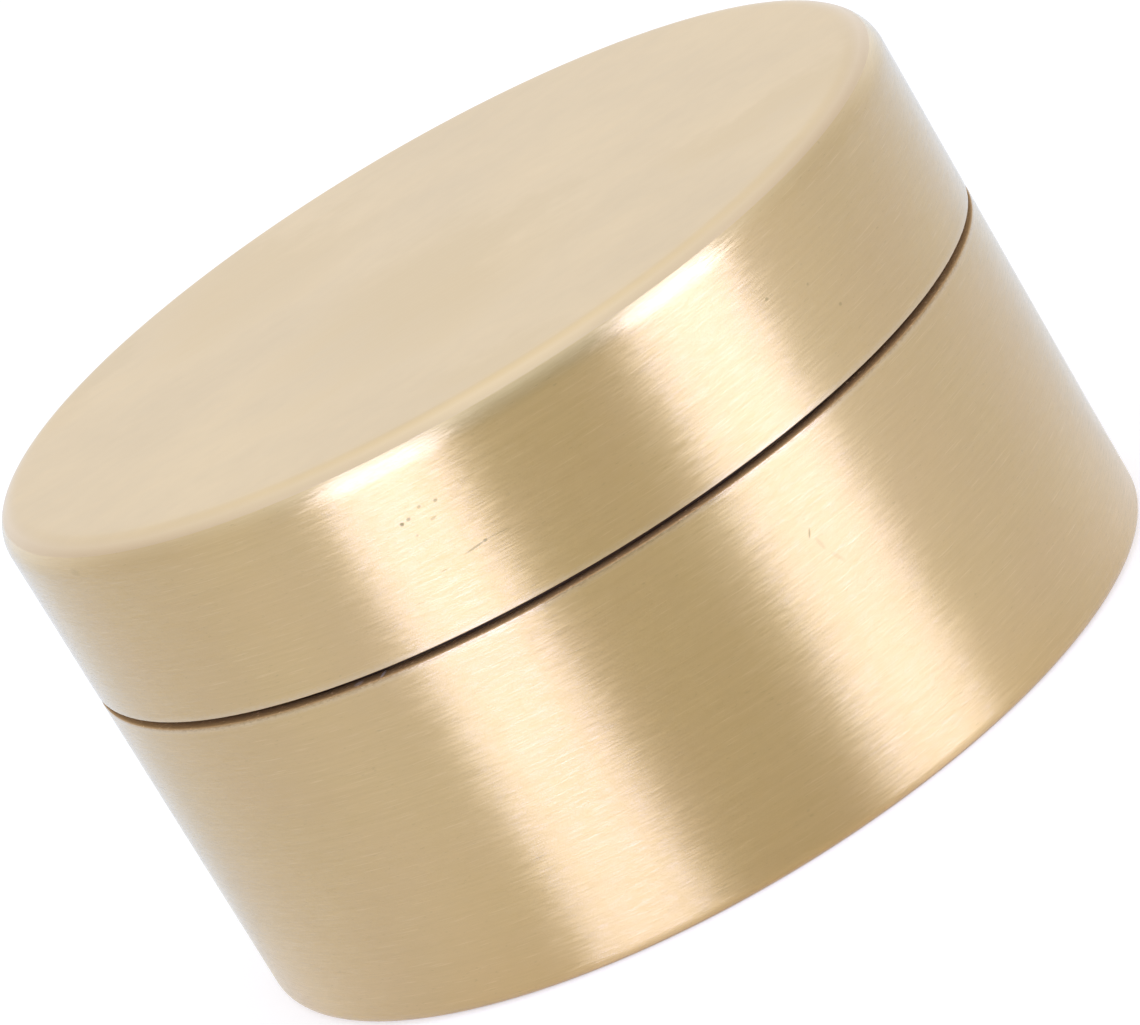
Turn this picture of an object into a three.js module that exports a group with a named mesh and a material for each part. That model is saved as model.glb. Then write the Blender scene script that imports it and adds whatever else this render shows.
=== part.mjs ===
// Round brass jewelry box whose lid slips over an inner neck and seats on a gasket.
// Millimetres, +Z up, origin at the centre of the underside. Every piece is turned about Z.
import * as THREE from "three";

// The two brass shells
const boxDiameter = 62;
const boxHeight = 35;
const lidHeight = 12.35; // from the top of the crown down to the edge of the skirt
const partingGap = 0.5; // the gasket holds the lid this far off the rim of the base
const shellWall = 1.2;
const crownRadius = 2; // outside, round the top edge of the lid
const footRadius = 0.8; // outside, round the bottom edge of the base
const edgeBreak = 0.15; // small chamfer on each cut edge of the sheet
const leastInsideRadius = 0.3; // inside a corner whose wall is thicker than its outside radius

// The neck, a brass sleeve soldered into the base that guides the lid
const neckWall = 0.8;
const neckClearance = 0.15; // all round, to the bore of the base and of the lid
const neckSeatDepth = 9; // below the rim of the base

// The gasket, a flat silicone ring under the crown of the lid
const gasketThickness = 1.6;
const gasketWidth = 2.2;
const gasketClearance = 0.15; // all round, to the bore of the lid
const gasketEdge = 0.3; // chamfer on the two lower edges

// The linings
const glueGap = 0.1; // between pieces that are glued together or rest on each other
const padBoardThickness = 1;
const padThickness = 3; // of the pad at its middle
const padCrown = 1; // rise of the middle above the shoulder of the pad
const padShoulder = 1.2; // radius round the top edge of the pad
const padTuck = 0.5; // the velvet is drawn in this far where it turns under the pad
const padClearance = 0.15; // all round, to the lining of the wall
const lidLinerThickness = 0.8;
const lidLinerClearance = 0.3; // all round, to the inside of the gasket

// Facets
const turnSteps = 72;
const cornerSteps = 4;
const crownSteps = 5;

// Levels and radii that follow from the sizes above
const outerRadius = boxDiameter / 2;
const boreRadius = outerRadius - shellWall;
const skirtLevel = boxHeight - lidHeight;
const rimLevel = skirtLevel - partingGap;
const floorLevel = shellWall;
const ceilingLevel = boxHeight - shellWall;
const insideCrownRadius = Math.max(crownRadius - shellWall, leastInsideRadius);
const insideFootRadius = Math.max(footRadius - shellWall, leastInsideRadius);

const gasketTop = ceilingLevel - glueGap;
const gasketBottom = gasketTop - gasketThickness;
const gasketOuter = boreRadius - gasketClearance;
const gasketInner = gasketOuter - gasketWidth;

const neckTop = gasketBottom - glueGap;
const neckBottom = rimLevel - neckSeatDepth;
const neckOuter = boreRadius - neckClearance;
const neckInner = neckOuter - neckWall;

const wallLinerBottom = floorLevel + insideFootRadius;
const wallLinerTop = neckBottom - glueGap;
const wallLinerOuter = boreRadius - glueGap;

const padRadius = neckInner - padClearance;
const padBoardBottom = floorLevel + glueGap;
const padBottom = padBoardBottom + padBoardThickness + glueGap;
const padTop = padBottom + padThickness;

const lidLinerRadius = gasketInner - lidLinerClearance;
const lidLinerBottom = ceilingLevel - glueGap - lidLinerThickness;

// Finishes
function finish(color, roughness, metalness) {
  return new THREE.MeshStandardMaterial({ color, roughness, metalness });
}
const brushedBrass = finish(0xcbb07c, 0.35, 1);
const plainBrass = finish(0xc2a25f, 0.4, 1);
const darkSilicone = finish(0x3a2a1c, 0.6, 0);
const velvet = finish(0x4a1420, 0.95, 0);
const greyBoard = finish(0x8a857b, 0.9, 0);

// A point of a profile: distance from the axis, then height
function at(radius, height) {
  return new THREE.Vector2(radius, height);
}

// Points along a quarter round or other arc, with its ends, angles in quarter turns from the radius
function arc(centre, radius, fromQuarter, toQuarter) {
  const points = [];
  for (let i = 0; i <= cornerSteps; i++) {
    const quarter = fromQuarter + ((toQuarter - fromQuarter) * i) / cornerSteps;
    const angle = (quarter * Math.PI) / 2;
    points.push(at(centre.x + radius * Math.cos(angle), centre.y + radius * Math.sin(angle)));
  }
  return points;
}

// One piece turned from its profile, with the axis of the lathe stood up along Z
function turned(name, profile, material) {
  const piece = new THREE.Mesh(new THREE.LatheGeometry(profile, turnSteps), material);
  piece.name = name;
  piece.rotation.x = Math.PI / 2;
  return piece;
}

// A profile that goes round a ring and closes on its first point
function closed(profile) {
  return [...profile, profile[0].clone()];
}

// Drawn cup: flat floor, foot corner, straight wall and a flat rim with broken edges
function baseCup() {
  const profile = [
    at(0, 0),
    ...arc(at(outerRadius - footRadius, footRadius), footRadius, -1, 0),
    at(outerRadius, rimLevel - edgeBreak),
    at(outerRadius - edgeBreak, rimLevel),
    at(boreRadius + edgeBreak, rimLevel),
    at(boreRadius, rimLevel - edgeBreak),
    ...arc(at(boreRadius - insideFootRadius, floorLevel + insideFootRadius), insideFootRadius, 0, -1),
    at(0, floorLevel),
  ];
  return turned("base_cup", profile, brushedBrass);
}

// Drawn cap: skirt with broken edges, rounded crown corner and a flat crown
function lidCap() {
  const profile = [
    at(0, ceilingLevel),
    ...arc(at(boreRadius - insideCrownRadius, ceilingLevel - insideCrownRadius), insideCrownRadius, 1, 0),
    at(boreRadius, skirtLevel + edgeBreak),
    at(boreRadius + edgeBreak, skirtLevel),
    at(outerRadius - edgeBreak, skirtLevel),
    at(outerRadius, skirtLevel + edgeBreak),
    ...arc(at(outerRadius - crownRadius, boxHeight - crownRadius), crownRadius, 0, 1),
    at(0, boxHeight),
  ];
  return turned("lid_cap", profile, brushedBrass);
}

// Straight sleeve with broken edges at the top, where the lid comes down over it
function neckSleeve() {
  const profile = closed([
    at(neckInner, neckBottom),
    at(neckOuter, neckBottom),
    at(neckOuter, neckTop - edgeBreak),
    at(neckOuter - edgeBreak, neckTop),
    at(neckInner + edgeBreak, neckTop),
    at(neckInner, neckTop - edgeBreak),
  ]);
  return turned("neck_sleeve", profile, plainBrass);
}

// Flat ring whose upper outer edge clears the inside corner of the crown
function lidGasket() {
  const profile = closed([
    at(gasketInner + gasketEdge, gasketBottom),
    at(gasketOuter - gasketEdge, gasketBottom),
    at(gasketOuter, gasketBottom + gasketEdge),
    at(gasketOuter, gasketTop - insideCrownRadius),
    at(gasketOuter - insideCrownRadius, gasketTop),
    at(gasketInner, gasketTop),
    at(gasketInner, gasketBottom + gasketEdge),
  ]);
  return turned("lid_gasket", profile, darkSilicone);
}

// Velvet on a card strip, flush with the inside of the neck above it
function wallLiner() {
  const profile = closed([
    at(neckInner, wallLinerBottom),
    at(wallLinerOuter, wallLinerBottom),
    at(wallLinerOuter, wallLinerTop),
    at(neckInner, wallLinerTop),
  ]);
  return turned("wall_liner", profile, velvet);
}

// Stiff card disc that carries the pad
function padBoard() {
  const profile = [
    at(0, padBoardBottom),
    at(padRadius, padBoardBottom),
    at(padRadius, padBoardBottom + padBoardThickness),
    at(0, padBoardBottom + padBoardThickness),
  ];
  return turned("pad_board", profile, greyBoard);
}

// Foam disc under velvet: tucked in underneath, round at the shoulder and crowned
function basePad() {
  const shoulderRadius = padRadius - padShoulder;
  const shoulderLevel = padTop - padCrown;
  const crown = [];
  for (let i = 1; i <= crownSteps; i++) {
    const share = 1 - i / crownSteps;
    crown.push(at(shoulderRadius * share, padTop - padCrown * share * share));
  }
  const profile = [
    at(0, padBottom),
    at(padRadius - padTuck, padBottom),
    ...arc(at(shoulderRadius, shoulderLevel - padShoulder), padShoulder, 0, 1),
    ...crown,
  ];
  return turned("base_pad", profile, velvet);
}

// Velvet on a card disc, glued under the crown inside the gasket
function lidLiner() {
  const profile = [
    at(0, lidLinerBottom),
    at(lidLinerRadius, lidLinerBottom),
    at(lidLinerRadius, lidLinerBottom + lidLinerThickness),
    at(0, lidLinerBottom + lidLinerThickness),
  ];
  return turned("lid_liner", profile, velvet);
}

const base = new THREE.Group();
base.add(baseCup(), neckSleeve(), wallLiner(), padBoard(), basePad());

const lid = new THREE.Group();
lid.add(lidCap(), lidLiner(), lidGasket());

const jewelryBox = new THREE.Group();
jewelryBox.add(base, lid);

export default jewelryBox;
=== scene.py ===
import math

import bmesh
import bpy
from mathutils import Matrix, Vector


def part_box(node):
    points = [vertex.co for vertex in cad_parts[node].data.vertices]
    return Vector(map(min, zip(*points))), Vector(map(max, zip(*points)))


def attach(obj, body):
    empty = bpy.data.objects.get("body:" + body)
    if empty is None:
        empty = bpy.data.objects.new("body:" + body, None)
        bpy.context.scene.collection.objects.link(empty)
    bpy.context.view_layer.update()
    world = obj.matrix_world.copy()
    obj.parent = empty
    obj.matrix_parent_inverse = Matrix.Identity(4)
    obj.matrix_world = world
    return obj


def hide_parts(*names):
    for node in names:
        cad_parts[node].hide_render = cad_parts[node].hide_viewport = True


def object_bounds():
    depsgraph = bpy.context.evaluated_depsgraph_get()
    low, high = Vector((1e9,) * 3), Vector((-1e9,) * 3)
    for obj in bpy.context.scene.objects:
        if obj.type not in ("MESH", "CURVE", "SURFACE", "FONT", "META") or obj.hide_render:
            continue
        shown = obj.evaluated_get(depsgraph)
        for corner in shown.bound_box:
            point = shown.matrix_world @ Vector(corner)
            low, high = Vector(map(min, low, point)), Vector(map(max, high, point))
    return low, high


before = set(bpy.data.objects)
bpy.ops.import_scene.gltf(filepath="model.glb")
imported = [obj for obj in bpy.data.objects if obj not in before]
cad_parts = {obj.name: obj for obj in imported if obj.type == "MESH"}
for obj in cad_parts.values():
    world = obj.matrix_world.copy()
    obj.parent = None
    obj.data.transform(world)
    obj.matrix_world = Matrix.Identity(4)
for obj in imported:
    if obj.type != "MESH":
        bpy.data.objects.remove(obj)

cad_low, cad_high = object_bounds()
mm = 0.001

# The camera
# It looks down on the box from about 17 degrees and from well back, so the walls hardly converge.
# It is rolled a third of a right angle, so the standing box leans to the upper left of the picture.
photo_width_px = 1140
focal_length_px = 6948
sensor_width_mm = 36
camera_elevation = math.radians(16.91)
camera_roll = math.radians(-30.85)
camera_distance = 430.3 * mm
centre_left_px = 3.9  # how far the middle of the box lies left of the picture's middle
centre_up_px = 14.7  # and how far above it

box_centre = (cad_low + cad_high) / 2
back = Vector((0, -math.cos(camera_elevation), math.sin(camera_elevation)))
right = Matrix.Rotation(camera_roll, 3, back) @ Vector((1, 0, 0))
up = back.cross(right)
camera_turn = Matrix((right, up, back)).transposed().to_4x4()

lens = bpy.data.cameras.new("photo_camera")
lens.sensor_width = sensor_width_mm
lens.lens = focal_length_px / photo_width_px * sensor_width_mm
lens.shift_x = centre_left_px / photo_width_px
lens.shift_y = -centre_up_px / photo_width_px
lens.clip_start = 0.01
lens.clip_end = 20
camera = bpy.data.objects.new("photo_camera", lens)
camera.matrix_world = Matrix.Translation(box_centre + back * camera_distance) @ camera_turn
bpy.context.scene.collection.objects.link(camera)
bpy.context.scene.camera = camera
bpy.context.scene.view_settings.view_transform = "Standard"

# The base
# A cup drawn from brass sheet, with a small corner at the foot and a flat rim with broken edges.
# Its wall is brushed round and round and lacquered, its floor and underside are satin,
# and the rim has never been cleaned: brown grime sits on it and frays over its outer edge, and it is also
# painted darker inward as the shade of the gap.
_, base_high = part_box("base_cup")
outer_radius = base_high.x
rim_level = base_high.z
sheet_thickness = 1.2 * mm
bore_radius = outer_radius - sheet_thickness
foot_radius = 0.8 * mm
inside_foot_radius = 0.3 * mm
cut_edge = 0.15 * mm
turn_steps = 192
arc_segments = 15
ring_spacing = 0.6 * mm
satin_upright = 0.66  # a face whose normal stands more upright than this is satin, the others are brushed
hairline_size = (1.6 * mm, 1.6 * mm, 0.08 * mm)
bead_size = (1.4 * mm, 1.4 * mm, 0.012 * mm)
grime_and_shade_brown = (0.44, 0.265, 0.095, 1)
grime_in_painted_shade = (0.20, 0.105, 0.035, 1)


def piece_of(name, bm):
    """A smooth-shaded object made of a bmesh."""
    mesh = bpy.data.meshes.new(name)
    bm.to_mesh(mesh)
    bm.free()
    mesh.shade_smooth()
    piece = bpy.data.objects.new(name, mesh)
    bpy.context.scene.collection.objects.link(piece)
    return piece


def turned(name, corners):
    """Turns a profile of (radius, height, rounding) corners; one that keeps off the axis is closed."""
    bm = bmesh.new()
    points = [bm.verts.new((radius, 0, height)) for radius, height, _ in corners]
    ends = points[1:]
    if min(radius for radius, _, _ in corners) > 0:
        ends = points[1:] + points[:1]
    for first, second in zip(points, ends):
        bm.edges.new((first, second))
    for point, (_, _, rounding) in zip(points, corners):
        if rounding:
            bmesh.ops.bevel(
                bm, geom=[point], offset=rounding, offset_type="OFFSET", affect="VERTICES",
                segments=arc_segments, profile=0.5, material=-1,
            )
    for edge in list(bm.edges):
        cuts = int(edge.calc_length() / ring_spacing)
        if cuts:
            bmesh.ops.subdivide_edges(bm, edges=[edge], cuts=cuts)
    bmesh.ops.spin(
        bm, geom=bm.verts[:] + bm.edges[:], cent=(0, 0, 0), axis=(0, 0, 1), dvec=(0, 0, 0),
        angle=2 * math.pi, steps=turn_steps, use_merge=True, use_duplicate=False,
    )
    bmesh.ops.remove_doubles(bm, verts=bm.verts, dist=1e-7)
    bmesh.ops.recalc_face_normals(bm, faces=bm.faces)
    return piece_of(name, bm)


def feed(tree, made, inputs):
    """Gives a node its inputs, which are values or other nodes' outputs to link."""
    for key, value in inputs.items():
        if isinstance(value, bpy.types.NodeSocket):
            tree.links.new(value, made.inputs[key])
        else:
            made.inputs[key].default_value = value


def node(tree, kind, inputs=None, **settings):
    """A new node with its settings and inputs."""
    made = tree.nodes.new("ShaderNode" + kind)
    for key, value in settings.items():
        setattr(made, key, value)
    feed(tree, made, inputs or {})
    return made


def shader_of(name):
    """A new material, its node tree, its Principled shader and the place on the piece."""
    material = bpy.data.materials.new(name)
    material.use_nodes = True
    tree = material.node_tree
    place = node(tree, "TexCoord").outputs["Object"]
    return material, tree, tree.nodes["Principled BSDF"], place


def reckoned(tree, operation, *values):
    """The number that a Math node makes of its values."""
    return node(tree, "Math", dict(enumerate(values)), operation=operation).outputs["Value"]


def steered(tree, operation, *values):
    """The vector that a Vector Math node makes of its values."""
    return node(tree, "VectorMath", dict(enumerate(values)), operation=operation).outputs["Vector"]


def axes_of(tree, vector):
    """The X, Y and Z of a vector."""
    return node(tree, "SeparateXYZ", {"Vector": vector}).outputs


def vector_of(tree, **axes):
    """A vector of the given X, Y and Z, with 0 for the others."""
    return node(tree, "CombineXYZ", axes).outputs["Vector"]


def noise_of(tree, place, size, detail=2.0, seed=(0, 0, 0)):
    """Noise whose grains are about size long in X, Y and Z."""
    scale = tuple(1 / length for length in size)
    placed = node(tree, "Mapping", {"Vector": place, "Scale": scale, "Location": seed}).outputs["Vector"]
    return node(tree, "TexNoise", {"Vector": placed, "Scale": 1.0, "Detail": detail}).outputs


def grain(tree, place, size, detail=2.0, seed=(0, 0, 0)):
    """One number of such a noise, from 0 to 1."""
    return noise_of(tree, place, size, detail, seed)["Fac"]


def spread(tree, value, low, high, least=0.25, most=0.75):
    """Stretches a value from least..most to low..high."""
    stretched = node(
        tree, "MapRange",
        {"Value": value, "From Min": least, "From Max": most, "To Min": low, "To Max": high},
    )
    return stretched.outputs["Result"]


def tint(tree, factor, first, second):
    """A colour between two, by a factor from 0 to 1."""
    mixed = node(tree, "Mix", {"Factor": factor, "A": first, "B": second}, data_type="RGBA")
    return mixed.outputs["Result"]


def sum_of(tree, first, second):
    """Two numbers added."""
    return reckoned(tree, "ADD", first, second)


def more_of(tree, first, second):
    """The larger of two numbers."""
    return reckoned(tree, "MAXIMUM", first, second)


def upright_of(tree):
    """How upright the surface's normal stands: 1 on a level face, 0 on a wall."""
    return axes_of(tree, node(tree, "TexCoord").outputs["Normal"])["Z"]


def scored_normal(tree, place, size, along, upright):
    """The normal leant at random, along the turn and up or down, from one hairline to the next."""
    lean = node(tree, "SeparateColor", {"Color": noise_of(tree, place, size)["Color"]}).outputs
    turn = steered(tree, "NORMALIZE", steered(tree, "CROSS_PRODUCT", (0, 0, 1), place))
    sideways = spread(tree, lean["Red"], -along, along)
    sideways = node(tree, "VectorMath", {0: turn, "Scale": sideways}, operation="SCALE").outputs["Vector"]
    raised = vector_of(tree, Z=spread(tree, lean["Green"], -upright, upright))
    leant = steered(tree, "ADD", sideways, raised)
    leant = steered(tree, "ADD", leant, node(tree, "TexCoord").outputs["Normal"])
    leant = node(
        tree, "VectorTransform", {"Vector": leant},
        vector_type="NORMAL", convert_from="OBJECT", convert_to="WORLD",
    )
    return steered(tree, "NORMALIZE", leant.outputs["Vector"])


def away_from(tree, place, centre, lie, reach):
    """How far a point is from the middle of a spot: 0 at its middle, 1 at its outline."""
    inside = node(
        tree, "Mapping", {"Vector": place, "Location": centre, "Rotation": lie, "Scale": reach},
        vector_type="TEXTURE",
    )
    length = node(tree, "VectorMath", {0: inside.outputs["Vector"]}, operation="LENGTH")
    return length.outputs["Value"]


def worn_at(tree, place, marks):
    """How much of a pit or scratch there is, from 0 to 1; each mark is a slim spot lying on the wall."""
    worn = 0.0
    mark_depth = 1 * mm
    for azimuth, height, length, width, slope, depth in marks:
        turn = math.radians(azimuth)
        spot = (outer_radius * math.cos(turn), outer_radius * math.sin(turn), height * mm)
        lie = (0, -math.radians(slope), turn + math.pi / 2)
        reach = (length / 2 * mm, mark_depth, width / 2 * mm)
        away = away_from(tree, place, spot, lie, reach)
        worn = more_of(tree, worn, spread(tree, away, depth, 0.0, least=0.5, most=1.1))
    return worn


def brushed_wall(name, marks, edge_level, darkened_at_gap):
    """Brass brushed round the axis, so that light spreads up and down the wall, and lacquered."""
    material, tree, shader, place = shader_of(name)
    brass = (0.805, 0.60, 0.288, 1)
    brass_dull = (0.665, 0.48, 0.209, 1)
    brass_pink = (0.735, 0.53, 0.257, 1)
    brass_bright = (0.95, 0.74, 0.42, 1)
    brass_rubbed_and_highlit = (0.80, 0.66, 0.45, 1)
    brass_corner_highlight = (0.95, 0.76, 0.47, 1)
    pit_brown = (0.10, 0.09, 0.005, 1)
    hairline = grain(tree, place, hairline_size)
    streak = grain(tree, place, (9 * mm, 9 * mm, 0.2 * mm), seed=(3, 7, 1))
    cloud = grain(tree, place, (14 * mm, 14 * mm, 9 * mm), seed=(5, 2, 8))
    blush = grain(tree, place, (8 * mm, 8 * mm, 6 * mm), detail=3, seed=(6, 6, 1))
    scratch = grain(tree, place, (2.4 * mm, 2.4 * mm, 0.07 * mm), detail=1, seed=(4, 1, 7))
    fleck = grain(tree, place, (0.5 * mm, 0.5 * mm, 0.12 * mm), detail=1, seed=(2, 8, 3))
    frayed = grain(tree, place, (0.25 * mm, 0.25 * mm, 0.10 * mm), detail=4, seed=(1, 9, 4))

    wear = sum_of(tree, spread(tree, streak, 0.0, 0.3), spread(tree, cloud, 0.0, 0.4))
    wear = sum_of(tree, wear, spread(tree, hairline, 0.0, 0.3))
    colour = tint(tree, wear, brass_dull, brass)
    colour = tint(tree, spread(tree, blush, 0.0, 0.6, least=0.4, most=0.7), colour, brass_pink)
    colour = tint(tree, spread(tree, scratch, 0.0, 0.3, least=0.62, most=0.76), colour, brass_bright)
    off_edge = reckoned(tree, "SUBTRACT", axes_of(tree, place)["Z"], edge_level)
    off_edge = reckoned(tree, "ABSOLUTE", off_edge)
    off_edge = sum_of(tree, off_edge, spread(tree, frayed, -0.11 * mm, 0.11 * mm))
    # Paler brass along the cut edge: partly rubbed wear, partly a painted highlight along the edge.
    rubbed_and_highlit = spread(tree, off_edge, 0.5, 0.0, least=0.1 * mm, most=0.45 * mm)
    colour = tint(tree, rubbed_and_highlit, colour, brass_rubbed_and_highlit)
    # Painted highlight: the wall's colour turns paler as its corner tilts up towards the crown.
    corner_highlight = spread(tree, upright_of(tree), 0.0, 0.4, least=0.1, most=0.6)
    colour = tint(tree, corner_highlight, colour, brass_corner_highlight)
    pitted = spread(tree, fleck, 0.0, 0.12, least=0.68, most=0.80)
    colour = tint(tree, more_of(tree, pitted, worn_at(tree, place, marks)), colour, pit_brown)
    # Brown grime at the rim that also stands in for the shade of the gap, fraying down over the wall's top
    # edge.
    if darkened_at_gap:
        grime_and_shade = spread(tree, off_edge, 0.75, 0.0, least=0.0, most=0.25 * mm)
        colour = tint(tree, grime_and_shade, colour, grime_and_shade_brown)
    feed(tree, shader, {
        "Base Color": colour,
        "Roughness": sum_of(tree, spread(tree, hairline, 0.38, 0.44), spread(tree, cloud, -0.02, 0.02)),
        "Metallic": 1,
        "Anisotropic": 0.96,
        "Tangent": vector_of(tree, Z=1.0),
        "Normal": scored_normal(tree, place, hairline_size, 0.028, 0.03),
        "Coat Weight": 0.8,
        "Coat Roughness": 0.13,
        "Coat IOR": 1.7,
        "Coat Normal": scored_normal(tree, place, bead_size, 0.008, 0.6),
    })
    return material


def satin_face(name, patches=()):
    """Brass rubbed across a flat face, finer and cloudier than the walls, with warmer patches on it."""
    material, tree, shader, place = shader_of(name)
    brass = (0.724, 0.527, 0.265, 1)
    brass_dull = (0.603, 0.425, 0.198, 1)
    brass_warm = (0.623, 0.432, 0.178, 1)
    brass_rubbed_and_highlit = (0.77, 0.592, 0.372, 1)
    hairline = grain(tree, place, (6 * mm, 0.25 * mm, 6 * mm))
    mottle = grain(tree, place, (1.5 * mm, 1.2 * mm, 1.5 * mm), detail=4, seed=(8, 3, 5))
    cloud = grain(tree, place, (11 * mm, 9 * mm, 11 * mm), detail=5, seed=(2, 4, 6))

    wear = sum_of(tree, spread(tree, hairline, 0.0, 0.15), spread(tree, cloud, 0.0, 0.6))
    wear = sum_of(tree, wear, spread(tree, mottle, 0.0, 0.25))
    colour = tint(tree, wear, brass_dull, brass)
    stray = sum_of(tree, spread(tree, cloud, -4 * mm, 4 * mm), spread(tree, mottle, -1.5 * mm, 1.5 * mm))
    strayed = steered(tree, "ADD", place, vector_of(tree, X=stray, Y=stray))
    warmed = 0.0
    for x, y, length, width, depth in patches:
        reach = (length / 2 * mm, width / 2 * mm, outer_radius)
        away = away_from(tree, strayed, (x * mm, y * mm, rim_level), (0, 0, 0), reach)
        warmed = more_of(tree, warmed, spread(tree, away, depth, 0.0, least=0.6, most=1.15))
    colour = tint(tree, warmed, colour, brass_warm)
    # Paler where the face turns off the flat into the corner: partly rubbed wear, partly a painted
    # highlight graded by tilt.
    rubbed_and_highlit = spread(tree, upright_of(tree), 0.9, 0.0, least=0.86, most=1.0)
    feed(tree, shader, {
        "Base Color": tint(tree, rubbed_and_highlit, colour, brass_rubbed_and_highlit),
        "Roughness": sum_of(tree, spread(tree, hairline, 0.36, 0.42), spread(tree, cloud, -0.02, 0.02)),
        "Metallic": 1,
        "Anisotropic": 0.4,
        "Tangent": vector_of(tree, Y=1.0),
        "Coat Weight": 0.8,
        "Coat Roughness": 0.3,
    })
    return material


def grimed_shaded_edge(name, specks):
    """The sheet's cut edge under brown grime, painted darker inward as the shade of the gap, with bits of
    bare brass in it and pale dust on it.
    """
    material, tree, shader, place = shader_of(name)
    brass_bare = (0.66, 0.44, 0.20, 1)
    dust_pale = (0.62, 0.52, 0.42, 1)
    crumb = grain(tree, place, (0.3 * mm, 0.3 * mm, 0.3 * mm), detail=4)

    # Painted shade: the grime is darkest towards the inside, where the gap is deepest, and brown towards
    # the outer edge.
    outward = away_from(tree, place, (0, 0, 0), (0, 0, 0), (outer_radius, outer_radius, 1.0))
    outward = sum_of(tree, outward, spread(tree, crumb, -0.006, 0.006))
    shade_fades_outward = spread(tree, outward, 0.0, 1.0, least=0.958, most=0.992)
    colour = tint(tree, shade_fades_outward, grime_in_painted_shade, grime_and_shade_brown)
    colour = tint(tree, spread(tree, crumb, 0.0, 1.0, least=0.62, most=0.70), colour, brass_bare)
    dusty = 0.0
    for azimuth, radius, length, width, depth in specks:
        turn = math.radians(azimuth)
        spot = (radius * mm * math.cos(turn), radius * mm * math.sin(turn), rim_level)
        reach = (length / 2 * mm, width / 2 * mm, cut_edge)
        away = away_from(tree, place, spot, (0, 0, turn + math.pi / 2), reach)
        dusty = more_of(tree, dusty, spread(tree, away, depth, 0.0, least=0.4, most=1.1))
    lumps = node(tree, "Bump", {"Height": crumb, "Strength": 0.6, "Distance": 0.08 * mm})
    feed(tree, shader, {
        "Base Color": tint(tree, dusty, colour, dust_pale),
        "Roughness": spread(tree, crumb, 0.6, 0.9),
        "Normal": lumps.outputs["Normal"],
    })
    return material


def finish_faces(piece, wall, face, edge, edge_level):
    """Gives a turned shell its finishes: brushed walls, satin flat faces and the cut edge under grime and
    painted shade.
    """
    for finish in (wall, face, edge):
        piece.data.materials.append(finish)
    for polygon in piece.data.polygons:
        flat = abs(polygon.normal.z) > satin_upright
        at_edge = abs(polygon.center.z - edge_level) < cut_edge / 2
        polygon.material_index = 2 if flat and at_edge else int(flat)


base_cup = turned("base_cup_shell", [
    (0, 0, 0),
    (outer_radius, 0, foot_radius),
    (outer_radius, rim_level, cut_edge),
    (bore_radius, rim_level, cut_edge),
    (bore_radius, sheet_thickness, inside_foot_radius),
    (0, sheet_thickness, 0),
])
base_marks = [  # azimuth, height, length, width, slope, depth: millimetres and degrees
    (-69.1, 16.9, 0.7, 0.16, 57, 0.5),
    (-68.6, 16.0, 1.1, 0.30, -78, 0.16),
    (-67.6, 14.7, 1.3, 0.30, -63, 0.12),
    (-113.0, 8.2, 0.8, 0.10, 2, 0.2),
    (-97.5, 18.6, 1.2, 0.08, -3, 0.25),
]
rim_specks = [  # azimuth, distance from the axis, length, width, depth: millimetres and degrees
    (-121.5, 30.4, 0.75, 0.7, 0.55),
    (-118.2, 30.4, 0.32, 1.0, 0.9),
]
base_wall_brass = brushed_wall("base_wall_brass", base_marks, rim_level, darkened_at_gap=True)
base_face_brass = satin_face("base_face_brass")
edge_grime_and_shade = grimed_shaded_edge("grimed_shaded_brass_edge", rim_specks)
finish_faces(base_cup, base_wall_brass, base_face_brass, edge_grime_and_shade, rim_level)
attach(base_cup, "base")
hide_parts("base_cup")

# The neck
# A straight brass sleeve soldered inside the base, left as it came off the lathe, with fine rings.
# The lid slips over it, and where the gap between the lid and the rim leaves it open, a dark ring is
# painted on it as shade.
neck_low, neck_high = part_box("neck_sleeve")
neck_radius = neck_high.x
neck_bore = neck_radius - 0.8 * mm
skirt_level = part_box("lid_cap")[0].z
lathe_ring = (400 * mm, 400 * mm, 0.09 * mm)
shade_creep = 0.1 * mm  # how far the painted shade reaches past the gap, above and below
shade_fade = 0.05 * mm


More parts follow.
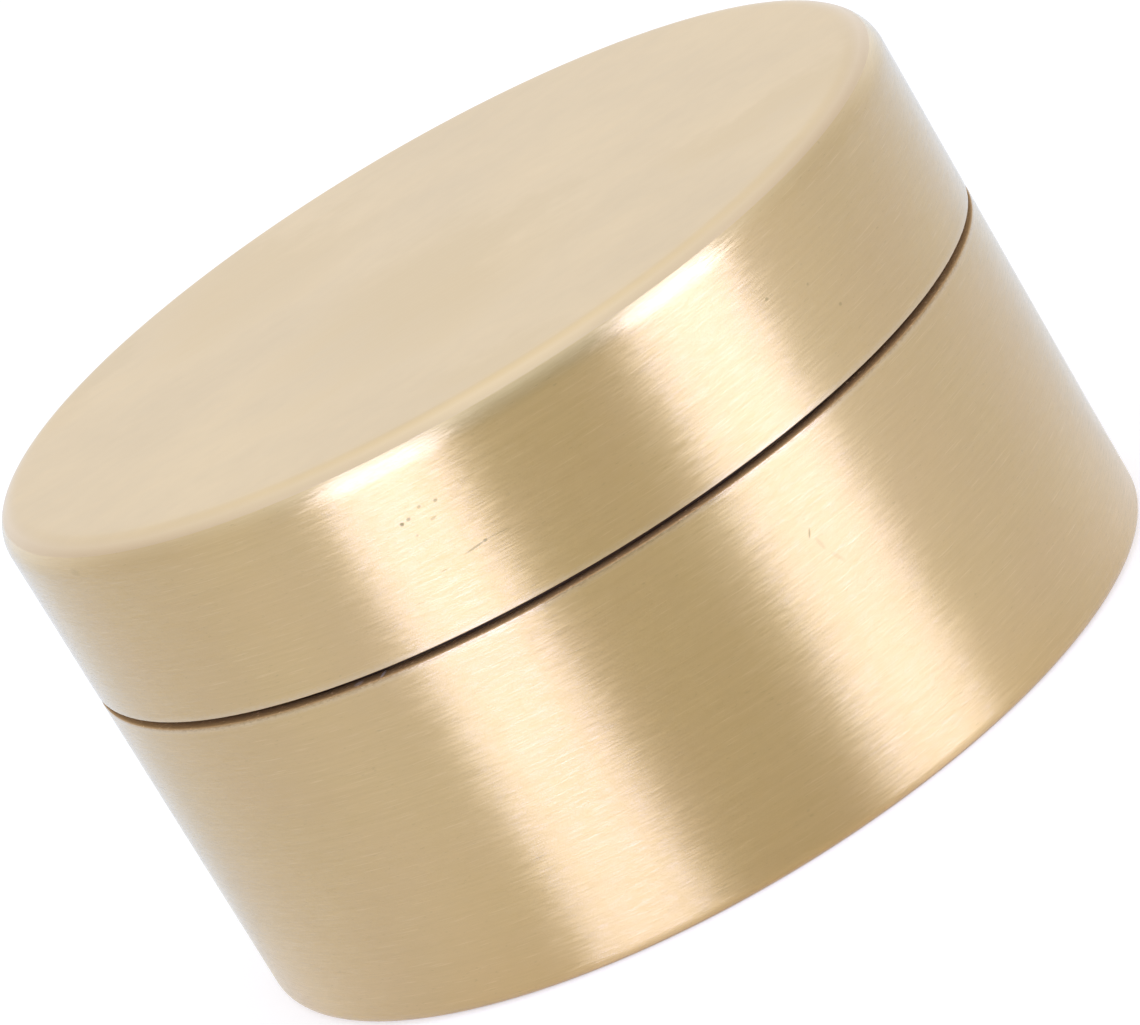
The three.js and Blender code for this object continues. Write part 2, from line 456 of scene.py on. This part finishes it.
def turned_brass(name, shade_low, shade_high):
    """Plain brass with the fine rings of the lathe and a dark ring painted as shade where the gap leaves it
    open.
    """
    material, tree, shader, place = shader_of(name)
    brass = (0.70, 0.49, 0.20, 1)
    brass_dull = (0.58, 0.39, 0.15, 1)
    painted_shade_dark = (0.07, 0.036, 0.014, 1)
    ring = grain(tree, place, lathe_ring)
    cloud = grain(tree, place, (8 * mm, 8 * mm, 5 * mm), detail=3, seed=(4, 4, 4))
    smear = grain(tree, place, (3 * mm, 3 * mm, 0.3 * mm), detail=3, seed=(7, 1, 2))

    wear = sum_of(tree, spread(tree, ring, 0.0, 0.4), spread(tree, cloud, 0.0, 0.6))
    # Painted shade: a dark, duller, unmetallic ring on the neck's outer face between the rim and the lid's
    # skirt.
    height = sum_of(tree, axes_of(tree, place)["Z"], spread(tree, smear, -0.08 * mm, 0.08 * mm))
    above = spread(tree, height, 0.0, 1.0, least=shade_low - shade_fade, most=shade_low + shade_fade)
    below = spread(tree, height, 1.0, 0.0, least=shade_high - shade_fade, most=shade_high + shade_fade)
    across = away_from(tree, place, (0, 0, 0), (0, 0, 0), (neck_bore, neck_bore, 1.0))
    outside = reckoned(tree, "GREATER_THAN", across, 1.01)
    darkened_at_gap = reckoned(tree, "MULTIPLY", reckoned(tree, "MULTIPLY", above, below), outside)
    duller = spread(tree, darkened_at_gap, 0.0, 0.1, least=0, most=1)
    feed(tree, shader, {
        "Base Color": tint(tree, darkened_at_gap, tint(tree, wear, brass_dull, brass), painted_shade_dark),
        "Roughness": sum_of(tree, spread(tree, cloud, 0.26, 0.36), duller),
        "Metallic": reckoned(tree, "SUBTRACT", 1.0, darkened_at_gap),
        "Normal": scored_normal(tree, place, lathe_ring, 0.0, 0.12),
    })
    return material


neck = turned("neck_sleeve_turned", [
    (neck_bore, neck_low.z, 0),
    (neck_radius, neck_low.z, 0),
    (neck_radius, neck_high.z, cut_edge),
    (neck_bore, neck_high.z, cut_edge),
])
neck_brass = turned_brass("turned_brass", rim_level - shade_creep, skirt_level + shade_creep)
neck.data.materials.append(neck_brass)
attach(neck, "base")
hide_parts("neck_sleeve")

# The wall lining
# A strip of card covered in short-pile wine velvet, bent round inside the base under the neck.
# Its two ends meet at the back in a butt seam, where the velvet rolls over the cut edges.
liner_low, liner_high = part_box("wall_liner")
liner_radius = liner_high.x
pile_roll = 0.3 * mm
seam_width = 0.5 * mm
seam_depth = 0.45 * mm


def velvet(name):
    """Short-pile velvet: dark down in the pile, paler on its tips and where the nap leans the other way."""
    material, tree, shader, place = shader_of(name)
    shadow = (0.058, 0.006, 0.014, 1)
    wine = (0.175, 0.021, 0.044, 1)
    pile = grain(tree, place, (0.16 * mm, 0.16 * mm, 0.16 * mm), detail=3)
    nap = grain(tree, place, (7 * mm, 7 * mm, 7 * mm), detail=4, seed=(3, 3, 9))

    light = sum_of(tree, spread(tree, pile, 0.0, 0.55), spread(tree, nap, 0.0, 0.45))
    tufted = node(tree, "Bump", {"Height": pile, "Strength": 0.7, "Distance": 0.15 * mm})
    feed(tree, shader, {
        "Base Color": tint(tree, light, shadow, wine),
        "Roughness": spread(tree, pile, 0.8, 1.0),
        "Specular IOR Level": 0.15,
        "Sheen Weight": 0.55,
        "Sheen Roughness": 0.35,
        "Sheen Tint": (0.80, 0.32, 0.40, 1),
        "Normal": tufted.outputs["Normal"],
    })
    return material


def cut_upright(bm, x):
    """Cuts the mesh along an upright plane across X, so that it can bend there."""
    bmesh.ops.bisect_plane(
        bm, geom=bm.verts[:] + bm.edges[:] + bm.faces[:], dist=1e-8, plane_co=(x, 0, 0), plane_no=(1, 0, 0),
    )


wall_liner = turned("wall_liner_velvet", [
    (neck_bore, liner_low.z, pile_roll),
    (liner_radius, liner_low.z, 0),
    (liner_radius, liner_high.z, 0),
    (neck_bore, liner_high.z, pile_roll),
])
bm = bmesh.new()
bm.from_mesh(wall_liner.data)
cut_upright(bm, -seam_width / 2)
cut_upright(bm, seam_width / 2)
cut_upright(bm, 0)
for vert in bm.verts:
    in_seam = vert.co.y > 0 and abs(vert.co.x) < seam_width / 4
    if in_seam and vert.co.y < neck_bore + pile_roll:
        vert.co.y += seam_depth
bm.to_mesh(wall_liner.data)
bm.free()
wine_velvet = velvet("wine_velvet")
wall_liner.data.materials.append(wine_velvet)
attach(wall_liner, "base")
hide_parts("wall_liner")

# The pad board
# A disc of grey board, punched to size, so that its edges are a little crushed.
# It is glued to the floor of the base, carries the pad and keeps it flat underneath.
board_low, board_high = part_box("pad_board")
board_radius = board_high.x
board_crush = 0.12 * mm


def grey_board(name):
    """Pressed grey board: pale and dark fibres, and a dry, uneven face."""
    material, tree, shader, place = shader_of(name)
    grey_dark = (0.16, 0.15, 0.13, 1)
    grey_pale = (0.30, 0.28, 0.24, 1)
    fibre = grain(tree, place, (1.2 * mm, 0.12 * mm, 0.12 * mm), detail=4)
    fleck = grain(tree, place, (0.5 * mm, 0.5 * mm, 0.5 * mm), detail=3, seed=(6, 2, 7))

    mixed = sum_of(tree, spread(tree, fibre, 0.0, 0.6), spread(tree, fleck, 0.0, 0.4))
    dry = node(tree, "Bump", {"Height": fibre, "Strength": 0.5, "Distance": 0.05 * mm})
    feed(tree, shader, {
        "Base Color": tint(tree, mixed, grey_dark, grey_pale),
        "Roughness": spread(tree, fleck, 0.8, 0.95),
        "Normal": dry.outputs["Normal"],
    })
    return material


pad_board = turned("pad_board_disc", [
    (0, board_low.z, 0),
    (board_radius, board_low.z, board_crush),
    (board_radius, board_high.z, board_crush),
    (0, board_high.z, 0),
])
pad_board.data.materials.append(grey_board("grey_board"))
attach(pad_board, "base")
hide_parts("pad_board")

# The pad
# A disc of soft foam under wine velvet that the jewelry lies on.
# The velvet is drawn over the foam and glued underneath, so the pad is crowned and round at its shoulder.
# It is blown up as cloth at twenty times its size, where cloth behaves as it does on a cushion.
pad_low, pad_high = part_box("base_pad")
pad_radius = pad_high.x
pad_tuck = 0.5 * mm
pad_shoulder = 1.1 * mm
pad_slack = 0.7 * mm  # how far below its full height the velvet starts before it swells
shoulder_drop = 0.4 * mm
crown_drop = 0.1 * mm
glue_depth = 0.3 * mm
cloth_scale = 20
cloth_voxel = 0.014
cloth_frames = 20
most_swelling = 0.9 * mm


def scaled(piece, factor):
    """Scales a piece's mesh about the origin."""
    bm = bmesh.new()
    bm.from_mesh(piece.data)
    bmesh.ops.scale(bm, vec=(factor, factor, factor), verts=bm.verts)
    bm.to_mesh(piece.data)
    bm.free()


pad_side = pad_radius - pad_tuck / 2
slack_top = pad_high.z - pad_slack
pad = turned("base_pad_velvet", [
    (0, pad_low.z, 0),
    (pad_radius - pad_tuck, pad_low.z, 0),
    (pad_side, (pad_low.z + pad_high.z) / 2 - shoulder_drop, 0),
    (pad_side, slack_top - shoulder_drop, pad_shoulder),
    (pad_radius * 0.6, slack_top - crown_drop, 0),
    (0, slack_top, 0),
])
scaled(pad, cloth_scale)
bpy.context.view_layer.objects.active = pad
remesh = pad.modifiers.new("even_faces", "REMESH")
remesh.mode = "VOXEL"
remesh.voxel_size = cloth_voxel
bpy.ops.object.modifier_apply(modifier=remesh.name)
start = [vert.co.copy() for vert in pad.data.vertices]
glued = pad.vertex_groups.new(name="glued_under")
glued_level = (pad_low.z + glue_depth) * cloth_scale
glued.add([vert.index for vert in pad.data.vertices if vert.co.z < glued_level], 1.0, "REPLACE")
cloth = pad.modifiers.new("velvet_cloth", "CLOTH")
cloth.settings.quality = 6
cloth.settings.mass = 0.3
cloth.settings.bending_stiffness = 0.5
cloth.settings.tension_stiffness = 15
cloth.settings.compression_stiffness = 15
cloth.settings.use_pressure = True
cloth.settings.uniform_pressure_force = 4
cloth.settings.vertex_group_mass = glued.name
cloth.settings.effector_weights.gravity = 0
cloth.collision_settings.use_collision = False
cloth.point_cache.frame_start = 1
cloth.point_cache.frame_end = cloth_frames
for step in range(1, cloth_frames + 1):
    bpy.context.scene.frame_set(step)
bpy.ops.object.modifier_apply(modifier=cloth.name)
bpy.context.scene.frame_set(1)
for vert, rest in zip(pad.data.vertices, start):
    swelling = vert.co - rest
    if swelling.length > most_swelling * cloth_scale:
        vert.co = rest + swelling.normalized() * most_swelling * cloth_scale
scaled(pad, 1 / cloth_scale)
for vert in pad.data.vertices:
    reach = math.hypot(vert.co.x, vert.co.y)
    if reach > pad_radius:
        vert.co.x *= pad_radius / reach
        vert.co.y *= pad_radius / reach
    vert.co.z = max(vert.co.z, pad_low.z)
pad.data.shade_smooth()
rounding = pad.modifiers.new("rounding", "SUBSURF")
rounding.levels = 1
rounding.render_levels = 1
pad.data.materials.append(wine_velvet)
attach(pad, "base")
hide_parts("base_pad")

# The lid
# A cap drawn from the same sheet, with a flat crown and a larger corner round it.
# It slips down over the neck, and its cut edge stops just short of the rim of the base.
# Its wall has collected a few small pits and scratches, and its crown is stained by handling.
_, lid_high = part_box("lid_cap")
crown_level = lid_high.z
crown_radius = 2 * mm
ceiling_level = crown_level - sheet_thickness
inside_crown_radius = 0.8 * mm

lid_cap = turned("lid_cap_shell", [
    (0, ceiling_level, 0),
    (bore_radius, ceiling_level, inside_crown_radius),
    (bore_radius, skirt_level, cut_edge),
    (outer_radius, skirt_level, cut_edge / 2),
    (outer_radius, crown_level, crown_radius),
    (0, crown_level, 0),
])
lid_marks = [  # azimuth, height, length, width, slope, depth: millimetres and degrees
    (-106.6, 30.2, 0.32, 0.28, 0, 0.75),
    (-105.7, 30.3, 0.34, 0.24, 10, 0.55),
    (-104.0, 30.7, 0.30, 0.22, 20, 0.4),
    (-102.1, 30.6, 0.30, 0.24, 0, 0.5),
    (-103.3, 29.7, 0.50, 0.20, 12, 0.35),
    (-105.8, 29.2, 0.22, 0.22, 0, 0.25),
    (-101.0, 27.0, 1.60, 0.16, 7, 0.5),
    (-99.7, 27.1, 0.34, 0.22, 7, 0.6),
    (-98.1, 27.1, 1.70, 0.10, -4, 0.25),
    (-105.2, 26.6, 0.70, 0.12, 2, 0.25),
    (-69.9, 28.7, 2.50, 0.08, 0, 0.15),
    (-59.3, 29.7, 0.32, 0.24, 0, 0.42),
    (-51.0, 26.4, 0.30, 0.26, 0, 0.28),
    (-53.6, 28.7, 0.24, 0.20, 0, 0.2),
    (-151.8, 33.55, 1.30, 0.45, -8, 0.12),
]
handled_patches = [  # x, y, length, width, depth: millimetres from the middle of the crown
    (-0.5, -5.5, 22, 24, 0.8),
    (-9, 19, 18, 20, 0.6),
    (22, -10, 18, 9, 0.6),
    (0, -27, 12, 7, 0.4),
    (-24, 18, 8, 12, 0.4),
]
lid_wall_brass = brushed_wall("lid_wall_brass", lid_marks, skirt_level, darkened_at_gap=False)
lid_face_brass = satin_face("lid_face_brass", handled_patches)
finish_faces(lid_cap, lid_wall_brass, lid_face_brass, edge_grime_and_shade, skirt_level)
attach(lid_cap, "lid")
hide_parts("lid_cap")

# The lid lining
# A card disc wrapped in the same velvet, which rolls over the card's lower edge.
# It is glued up under the crown, inside the ring of the gasket.
lining_low, lining_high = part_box("lid_liner")
lining_radius = lining_high.x

lid_lining = turned("lid_liner_velvet", [
    (0, lining_low.z, 0),
    (lining_radius, lining_low.z, pile_roll),
    (lining_radius, lining_high.z, 0),
    (0, lining_high.z, 0),
])
lid_lining.data.materials.append(wine_velvet)
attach(lid_lining, "lid")
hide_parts("lid_liner")

# The gasket
# A flat ring moulded in dark brown silicone, stuck up under the crown of the lid.
# The top of the neck presses on its lower face and has left a shallow groove there.
gasket_low, gasket_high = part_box("lid_gasket")
gasket_outer = gasket_high.x
gasket_bore = gasket_outer - 2.2 * mm
bore_rounding = 0.35 * mm
outer_rounding = 0.2 * mm
glued_rounding = 0.1 * mm
press_rounding = 0.05 * mm
press_depth = 0.12 * mm
press_inside = neck_bore - 0.1 * mm
press_level = gasket_low.z + press_depth


def moulded_silicone(name):
    """Matt silicone with the fine pebbling of its mould and a little dust on it."""
    material, tree, shader, place = shader_of(name)
    brown = (0.030, 0.020, 0.013, 1)
    dusty = (0.070, 0.054, 0.040, 1)
    pebble = grain(tree, place, (0.18 * mm, 0.18 * mm, 0.18 * mm))
    dust = grain(tree, place, (3 * mm, 3 * mm, 1 * mm), detail=4, seed=(9, 5, 1))

    pebbled = node(tree, "Bump", {"Height": pebble, "Strength": 0.25, "Distance": 0.05 * mm})
    feed(tree, shader, {
        "Base Color": tint(tree, spread(tree, dust, 0.0, 0.7), brown, dusty),
        "Roughness": spread(tree, dust, 0.45, 0.65),
        "Normal": pebbled.outputs["Normal"],
    })
    return material


gasket = turned("lid_gasket_ring", [
    (gasket_bore, gasket_low.z, bore_rounding),
    (press_inside, gasket_low.z, press_rounding),
    (press_inside + press_depth, press_level, press_rounding),
    (gasket_outer, press_level, outer_rounding),
    (gasket_outer, gasket_high.z - inside_crown_radius, outer_rounding),
    (gasket_outer - inside_crown_radius, gasket_high.z, outer_rounding),
    (gasket_bore, gasket_high.z, glued_rounding),
])
gasket.data.materials.append(moulded_silicone("moulded_silicone"))
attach(gasket, "gasket")
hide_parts("lid_gasket")

# The studio
# A white table and a white wall behind it, with the room dark behind the camera.
# Two tall softboxes stand either side of the camera and draw the two bright bands down the walls.
# The table glows with painted light that only glossy rays see, brightest behind the box and about its foot
# and warmest in front, and the brass mirrors it.
table_size = 6.0
table_white = (0.66, 0.65, 0.63, 1)
table_warm_reflection = (0.68, 0.61, 0.44, 1)
glow_white = (1, 1, 1, 1)
glow_cool = (0.8, 1.0, 1.25, 1)
glow_strength = 0.45
foot_glow_reach = 22 * mm
bearing_softness = 5 * mm

bm = bmesh.new()
bmesh.ops.create_grid(bm, x_segments=1, y_segments=1, size=table_size / 2)
table = piece_of("table", bm)
table_paint, tree, shader, place = shader_of("table_white")
ray = node(tree, "LightPath").outputs
spot = axes_of(tree, place)
aside = sum_of(tree, reckoned(tree, "ABSOLUTE", spot["X"]), -outer_radius)
bearing = steered(tree, "NORMALIZE", vector_of(tree, X=aside, Y=spot["Y"], Z=bearing_softness))
behind = axes_of(tree, bearing)["Y"]
reach = node(tree, "VectorMath", {0: place}, operation="LENGTH").outputs["Value"]
ahead = reckoned(tree, "DIVIDE", spot["Y"], reach)

# Painted light for glossy rays only: the table glows more behind the box and about its foot and flanks, and
# is tinted warm in front and cool behind.
at_foot = spread(tree, reach, 0.3, 0.0, least=outer_radius, most=outer_radius + foot_glow_reach)
at_flank = spread(tree, ahead, 0.0, 1.0, least=-0.85, most=-0.3)
glow = spread(tree, behind, 0.35, 0.75, least=0.75, most=0.98)
glow = sum_of(tree, glow, spread(tree, ahead, -0.08, 0.0, least=-0.985, most=-0.93))
glow = sum_of(tree, glow, reckoned(tree, "MULTIPLY", at_foot, at_flank))
mirrored = reckoned(tree, "MULTIPLY", ray["Is Glossy Ray"], glow)
seen = sum_of(tree, ray["Is Camera Ray"], ray["Is Transmission Ray"])
seen = sum_of(tree, seen, mirrored)
warmed = spread(tree, ahead, 1.0, 0.0, least=-0.98, most=-0.6)
warmed = reckoned(tree, "MULTIPLY", ray["Is Glossy Ray"], warmed)
cooled = spread(tree, behind, 0.0, 1.0, least=0.5, most=0.95)
cooled = reckoned(tree, "MULTIPLY", ray["Is Glossy Ray"], cooled)
feed(tree, shader, {
    "Base Color": tint(tree, warmed, table_white, table_warm_reflection),
    "Roughness": 0.9,
    "Specular IOR Level": 0.1,
    "Emission Color": tint(tree, cooled, glow_white, glow_cool),
    "Emission Strength": reckoned(tree, "MULTIPLY", seen, glow_strength),
})
table.data.materials.append(table_paint)

softbox_distance = 0.6
softbox_height = 0.42
softbox_width = 0.32
softbox_foot = 0.02
softbox_colour = (0.93, 1.01, 1.6)
softboxes = {  # azimuth and radiance
    "left_softbox": (-122, 4.4),
    "right_softbox": (-46, 4.35),
}
for name, (azimuth, radiance) in softboxes.items():
    light = bpy.data.lights.new(name, "AREA")
    light.shape = "RECTANGLE"
    light.size = softbox_width
    light.size_y = softbox_height
    light.color = softbox_colour
    light.energy = radiance * softbox_width * softbox_height * math.pi
    lamp = bpy.data.objects.new(name, light)
    turn = math.radians(azimuth)
    aim = Vector((math.cos(turn), math.sin(turn), 0))
    lamp.location = aim * softbox_distance + Vector((0, 0, softbox_height / 2 + softbox_foot))
    lamp.rotation_euler = aim.to_track_quat("Z", "Y").to_euler()
    bpy.context.scene.collection.objects.link(lamp)

warm_white = Vector((1.0, 0.965, 0.95, 1))
cool_white = Vector((1.06, 1.12, 1.2, 1))
back_white = Vector((1.02, 1.056, 1.113, 1))
room_levels = {0.1: 0.03, 0.3: 0.74, 0.4: 0.80, 0.52: 0.64, 0.7: 0.67}  # from in front, 0, to behind, 1
ceiling_aside = -0.45  # the ceiling starts higher up towards the sides

room = bpy.data.worlds.new("studio")
room.use_nodes = True
bpy.context.scene.world = room
tree = room.node_tree
axes = axes_of(tree, node(tree, "TexCoord").outputs["Generated"])
walls = node(tree, "ValToRGB", {"Fac": spread(tree, axes["Y"], 0.0, 1.0, least=-1.0, most=1.0)})
for position, grey in room_levels.items():
    walls.color_ramp.elements.new(position).color = warm_white * grey
walls.color_ramp.elements[-1].color = back_white
aside = reckoned(tree, "MULTIPLY", axes["X"], axes["X"])
height = sum_of(tree, axes["Z"], reckoned(tree, "MULTIPLY", aside, ceiling_aside))
raised = node(
    tree, "MapRange", {"Value": height, "From Min": 0.22, "From Max": 0.82},
    interpolation_type="SMOOTHSTEP",
)
midway = spread(tree, aside, 0.16, 0.0, least=0.0, most=0.1)
bright = sum_of(tree, spread(tree, axes["Y"], 0.77, 1.0, least=-0.35, most=0.6), midway)
ceiling = node(tree, "VectorMath", {0: cool_white[:3], "Scale": bright}, operation="SCALE")
shade = tint(tree, raised.outputs["Result"], walls.outputs["Color"], ceiling.outputs["Vector"])
ray = node(tree, "LightPath").outputs
sky = tint(tree, ray["Is Camera Ray"], shade, (1, 1, 1, 1))
tree.links.new(sky, tree.nodes["Background"].inputs["Color"])
